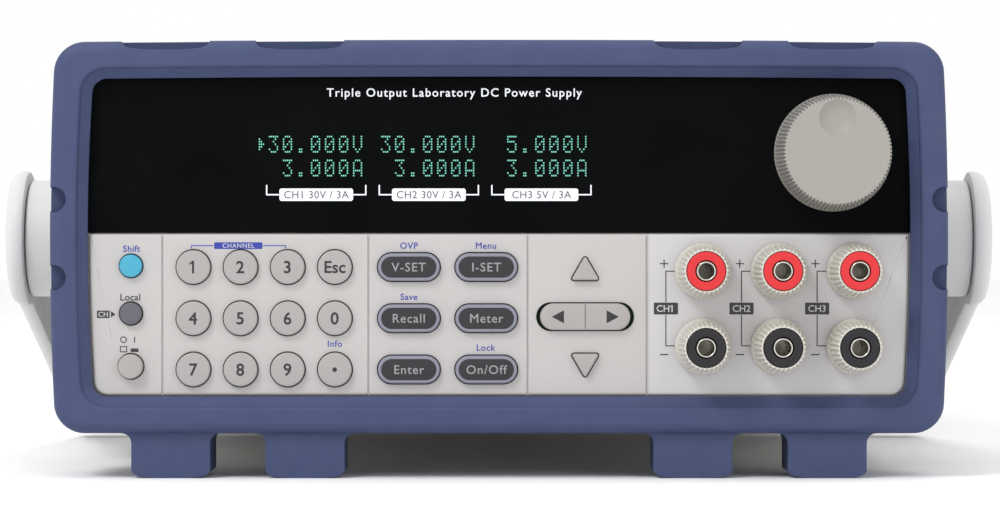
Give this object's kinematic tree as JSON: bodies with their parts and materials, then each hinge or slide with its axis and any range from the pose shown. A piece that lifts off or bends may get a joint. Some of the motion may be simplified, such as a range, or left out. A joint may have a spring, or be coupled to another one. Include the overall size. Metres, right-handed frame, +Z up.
{
  "type": "bench power supply",
  "caption": "Half-rack bench power supply with rubber bumpers, a tilting carry handle, a keypad, a knob, a display window and paired output binding posts.",
  "frame": {"origin": "middle of the footprint, on the plane of the feet's undersides", "axes": "+Z up, front panel towards -Y, +X to the right as seen from the front"},
  "size_m": [0.261, 0.3746, 0.1103],
  "materials": {
    "aluminium": "plain extruded aluminium",
    "black_plastic": "black moulded plastic",
    "blue_key": "satin moulded key, light blue",
    "case_paint": "powder-coated sheet, light grey",
    "circuit_board": "solder-masked board",
    "cream_plastic": "fluted moulded plastic, cream",
    "dark_key": "satin moulded key, dark grey",
    "handle_plastic": "moulded plastic, light grey",
    "key_plastic": "satin moulded key, light grey",
    "nickel": "nickel-plated brass",
    "panel_plastic": "fine-textured moulded plastic, light grey",
    "red_plastic": "red moulded insert",
    "rubber": "matt moulded elastomer, blue-grey",
    "window_acrylic": "smoked acrylic, near black",
    "zinc_steel": "zinc-plated steel"
  },
  "bodies": {
    "root": {"base_chassis": "zinc_steel", "display_module": "window_acrylic", "display_window": "window_acrylic", "encoder_body": "aluminium", "fan_frame": "black_plastic", "front_bumper": "rubber", "front_panel": "panel_plastic", "handle_hub_left": "handle_plastic", "handle_hub_right": "handle_plastic", "heatsink": "aluminium", "keypad_board": "circuit_board", "main_board": "circuit_board", "mains_inlet": "black_plastic", "power_switch": "black_plastic", "rear_bumper": "rubber", "rear_panel": "case_paint", "remote_ports": "zinc_steel", "terminal_block": "nickel", "top_cover": "case_paint", "transformer": "zinc_steel"},
    "key_1": {"key_1": "key_plastic"},
    "key_2": {"key_2": "key_plastic"},
    "key_3": {"key_3": "key_plastic"},
    "key_escape": {"key_escape": "key_plastic"},
    "key_4": {"key_4": "key_plastic"},
    "key_5": {"key_5": "key_plastic"},
    "key_6": {"key_6": "key_plastic"},
    "key_0": {"key_0": "key_plastic"},
    "key_7": {"key_7": "key_plastic"},
    "key_8": {"key_8": "key_plastic"},
    "key_9": {"key_9": "key_plastic"},
    "key_point": {"key_point": "key_plastic"},
    "key_voltage": {"key_voltage": "dark_key"},
    "key_current": {"key_current": "dark_key"},
    "key_recall": {"key_recall": "dark_key"},
    "key_meter": {"key_meter": "dark_key"},
    "key_enter": {"key_enter": "dark_key"},
    "key_output": {"key_output": "dark_key"},
    "key_up": {"key_up": "key_plastic"},
    "key_down": {"key_down": "key_plastic"},
    "key_shift": {"key_shift": "blue_key"},
    "key_local": {"key_local": "dark_key"},
    "key_power": {"key_power": "key_plastic"},
    "key_left_right": {"key_left_right": "key_plastic"},
    "handle": {"handle": "handle_plastic"},
    "knob": {"knob": "key_plastic", "encoder_shaft": "zinc_steel"},
    "fan_rotor": {"fan_rotor": "black_plastic"},
    "ring_positive_1": {"ring_positive_1": "red_plastic"},
    "nut_positive_1": {"nut_positive_1": "cream_plastic"},
    "ring_negative_1": {"ring_negative_1": "black_plastic"},
    "nut_negative_1": {"nut_negative_1": "cream_plastic"},
    "ring_positive_2": {"ring_positive_2": "red_plastic"},
    "nut_positive_2": {"nut_positive_2": "cream_plastic"},
    "ring_negative_2": {"ring_negative_2": "black_plastic"},
    "nut_negative_2": {"nut_negative_2": "cream_plastic"},
    "ring_positive_3": {"ring_positive_3": "red_plastic"},
    "nut_positive_3": {"nut_positive_3": "cream_plastic"},
    "ring_negative_3": {"ring_negative_3": "black_plastic"},
    "nut_negative_3": {"nut_negative_3": "cream_plastic"}
  },
  "joints": [
    {"name": "key_1_press", "type": "slide", "parent": "root", "child": "key_1", "axis": [0, 1, 0], "range_m": [0, 0.0009], "stiffness_N_per_m": 1000},
    {"name": "key_2_press", "type": "slide", "parent": "root", "child": "key_2", "axis": [0, 1, 0], "range_m": [0, 0.0009], "stiffness_N_per_m": 1000},
    {"name": "key_3_press", "type": "slide", "parent": "root", "child": "key_3", "axis": [0, 1, 0], "range_m": [0, 0.0009], "stiffness_N_per_m": 1000},
    {"name": "key_escape_press", "type": "slide", "parent": "root", "child": "key_escape", "axis": [0, 1, 0], "range_m": [0, 0.0009], "stiffness_N_per_m": 1000},
    {"name": "key_4_press", "type": "slide", "parent": "root", "child": "key_4", "axis": [0, 1, 0], "range_m": [0, 0.0009], "stiffness_N_per_m": 1000},
    {"name": "key_5_press", "type": "slide", "parent": "root", "child": "key_5", "axis": [0, 1, 0], "range_m": [0, 0.0009], "stiffness_N_per_m": 1000},
    {"name": "key_6_press", "type": "slide", "parent": "root", "child": "key_6", "axis": [0, 1, 0], "range_m": [0, 0.0009], "stiffness_N_per_m": 1000},
    {"name": "key_0_press", "type": "slide", "parent": "root", "child": "key_0", "axis": [0, 1, 0], "range_m": [0, 0.0009], "stiffness_N_per_m": 1000},
    {"name": "key_7_press", "type": "slide", "parent": "root", "child": "key_7", "axis": [0, 1, 0], "range_m": [0, 0.0009], "stiffness_N_per_m": 1000},
    {"name": "key_8_press", "type": "slide", "parent": "root", "child": "key_8", "axis": [0, 1, 0], "range_m": [0, 0.0009], "stiffness_N_per_m": 1000},
    {"name": "key_9_press", "type": "slide", "parent": "root", "child": "key_9", "axis": [0, 1, 0], "range_m": [0, 0.0009], "stiffness_N_per_m": 1000},
    {"name": "key_point_press", "type": "slide", "parent": "root", "child": "key_point", "axis": [0, 1, 0], "range_m": [0, 0.0009], "stiffness_N_per_m": 1000},
    {"name": "key_voltage_press", "type": "slide", "parent": "root", "child": "key_voltage", "axis": [0, 1, 0], "range_m": [0, 0.0009], "stiffness_N_per_m": 1000},
    {"name": "key_current_press", "type": "slide", "parent": "root", "child": "key_current", "axis": [0, 1, 0], "range_m": [0, 0.0009], "stiffness_N_per_m": 1000},
    {"name": "key_recall_press", "type": "slide", "parent": "root", "child": "key_recall", "axis": [0, 1, 0], "range_m": [0, 0.0009], "stiffness_N_per_m": 1000},
    {"name": "key_meter_press", "type": "slide", "parent": "root", "child": "key_meter", "axis": [0, 1, 0], "range_m": [0, 0.0009], "stiffness_N_per_m": 1000},
    {"name": "key_enter_press", "type": "slide", "parent": "root", "child": "key_enter", "axis": [0, 1, 0], "range_m": [0, 0.0009], "stiffness_N_per_m": 1000},
    {"name": "key_output_press", "type": "slide", "parent": "root", "child": "key_output", "axis": [0, 1, 0], "range_m": [0, 0.0009], "stiffness_N_per_m": 1000},
    {"name": "key_up_press", "type": "slide", "parent": "root", "child": "key_up", "axis": [0, 1, 0], "range_m": [0, 0.0009], "stiffness_N_per_m": 1000},
    {"name": "key_down_press", "type": "slide", "parent": "root", "child": "key_down", "axis": [0, 1, 0], "range_m": [0, 0.0009], "stiffness_N_per_m": 1000},
    {"name": "key_shift_press", "type": "slide", "parent": "root", "child": "key_shift", "axis": [0, 1, 0], "range_m": [0, 0.0009], "stiffness_N_per_m": 1000},
    {"name": "key_local_press", "type": "slide", "parent": "root", "child": "key_local", "axis": [0, 1, 0], "range_m": [0, 0.0009], "stiffness_N_per_m": 1000},
    {"name": "key_power_press", "type": "slide", "parent": "root", "child": "key_power", "axis": [0, 1, 0], "range_m": [0, 0.002], "stiffness_N_per_m": 600},
    {"name": "key_left_right_rock", "type": "hinge", "parent": "root", "child": "key_left_right", "pos_m": [0.0217, -0.1693, 0.0406], "axis": [0, 0, 1], "range_deg": [-4, 4], "stiffness_Nm_per_rad": 0.25},
    {"name": "handle_swing", "type": "hinge", "parent": "root", "child": "handle", "pos_m": [0, -0.1113, 0.0605], "axis": [-1, 0, 0], "range_deg": [0, 315]},
    {"name": "knob_turn", "type": "hinge", "parent": "root", "child": "knob", "pos_m": [0.0841, -0.1708, 0.0819], "axis": [0, 1, 0], "continuous": true},
    {"name": "fan_spin", "type": "hinge", "parent": "root", "child": "fan_rotor", "pos_m": [-0.058, 0.1728, 0.0605], "axis": [0, 1, 0], "continuous": true},
    {"name": "post_rise_positive_1", "type": "slide", "parent": "root", "child": "ring_positive_1", "axis": [0, -1, 0], "range_m": [0, 0.004]},
    {"name": "post_turn_positive_1", "type": "hinge", "parent": "ring_positive_1", "child": "nut_positive_1", "pos_m": [0.05135, -0.1718, 0.05217], "axis": [0, -1, 0], "range_deg": [0, 1441]},
    {"name": "post_rise_negative_1", "type": "slide", "parent": "root", "child": "ring_negative_1", "axis": [0, -1, 0], "range_m": [0, 0.004]},
    {"name": "post_turn_negative_1", "type": "hinge", "parent": "ring_negative_1", "child": "nut_negative_1", "pos_m": [0.05135, -0.1718, 0.03313], "axis": [0, -1, 0], "range_deg": [0, 1441]},
    {"name": "post_rise_positive_2", "type": "slide", "parent": "root", "child": "ring_positive_2", "axis": [0, -1, 0], "range_m": [0, 0.004]},
    {"name": "post_turn_positive_2", "type": "hinge", "parent": "ring_positive_2", "child": "nut_positive_2", "pos_m": [0.0704, -0.1718, 0.05217], "axis": [0, -1, 0], "range_deg": [0, 1441]},
    {"name": "post_rise_negative_2", "type": "slide", "parent": "root", "child": "ring_negative_2", "axis": [0, -1, 0], "range_m": [0, 0.004]},
    {"name": "post_turn_negative_2", "type": "hinge", "parent": "ring_negative_2", "child": "nut_negative_2", "pos_m": [0.0704, -0.1718, 0.03313], "axis": [0, -1, 0], "range_deg": [0, 1441]},
    {"name": "post_rise_positive_3", "type": "slide", "parent": "root", "child": "ring_positive_3", "axis": [0, -1, 0], "range_m": [0, 0.004]},
    {"name": "post_turn_positive_3", "type": "hinge", "parent": "ring_positive_3", "child": "nut_positive_3", "pos_m": [0.08945, -0.1718, 0.05217], "axis": [0, -1, 0], "range_deg": [0, 1441]},
    {"name": "post_rise_negative_3", "type": "slide", "parent": "root", "child": "ring_negative_3", "axis": [0, -1, 0], "range_m": [0, 0.004]},
    {"name": "post_turn_negative_3", "type": "hinge", "parent": "ring_negative_3", "child": "nut_negative_3", "pos_m": [0.08945, -0.1718, 0.03313], "axis": [0, -1, 0], "range_deg": [0, 1441]}
  ],
  "couplings": [
    {"joint": "post_turn_positive_1", "follows": "post_rise_positive_1", "rad_per_m": 6283.2},
    {"joint": "post_turn_negative_1", "follows": "post_rise_negative_1", "rad_per_m": 6283.2},
    {"joint": "post_turn_positive_2", "follows": "post_rise_positive_2", "rad_per_m": 6283.2},
    {"joint": "post_turn_negative_2", "follows": "post_rise_negative_2", "rad_per_m": 6283.2},
    {"joint": "post_turn_positive_3", "follows": "post_rise_positive_3", "rad_per_m": 6283.2},
    {"joint": "post_turn_negative_3", "follows": "post_rise_negative_3", "rad_per_m": 6283.2}
  ]
}
